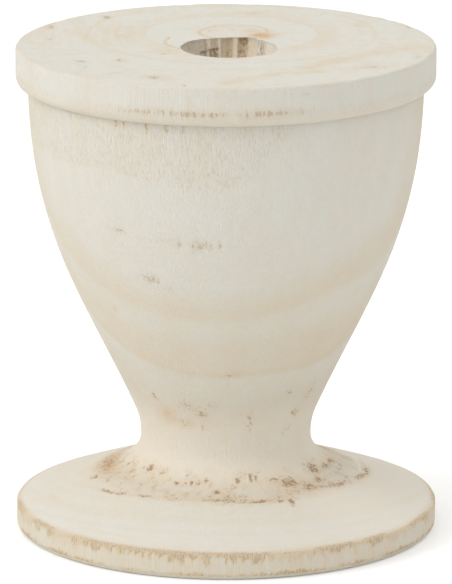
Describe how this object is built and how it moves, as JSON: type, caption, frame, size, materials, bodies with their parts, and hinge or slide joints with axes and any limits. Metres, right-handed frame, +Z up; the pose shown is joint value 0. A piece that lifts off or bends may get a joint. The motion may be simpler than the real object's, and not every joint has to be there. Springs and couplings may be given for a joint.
{
  "type": "wooden candlestick",
  "caption": "Turned, whitewashed wooden candlestick: a disc foot, a narrow waist that flares into a cup, and a flat overhanging rim with an off-centre candle hole.",
  "frame": {"origin": "centre of the underside of the foot, on the turning axis", "axes": "+Z up along the turning axis; -Y towards the front, the side that the candle hole is nearer to; +X to the right seen from the front"},
  "size_m": [0.103, 0.103, 0.12],
  "materials": {
    "whitewashed_foot": "matt raw wood with a thin whitewash, soft growth rings on the slope, vertical streaks on the side",
    "whitewashed_cup": "matt raw wood with a thin whitewash, tan growth bands, short torn pits below the rim and round the waist",
    "whitewashed_rim": "matt raw wood with a thin whitewash, end-grain rings on top, fine vertical fibres on the side",
    "dowel_wood": "plain smooth beech, unpainted"
  },
  "bodies": {
    "root": {"foot_disc": "whitewashed_foot", "cup_body": "whitewashed_cup", "rim_plate": "whitewashed_rim", "foot_dowel": "dowel_wood", "rim_dowels": "dowel_wood"}
  },
  "joints": []
}
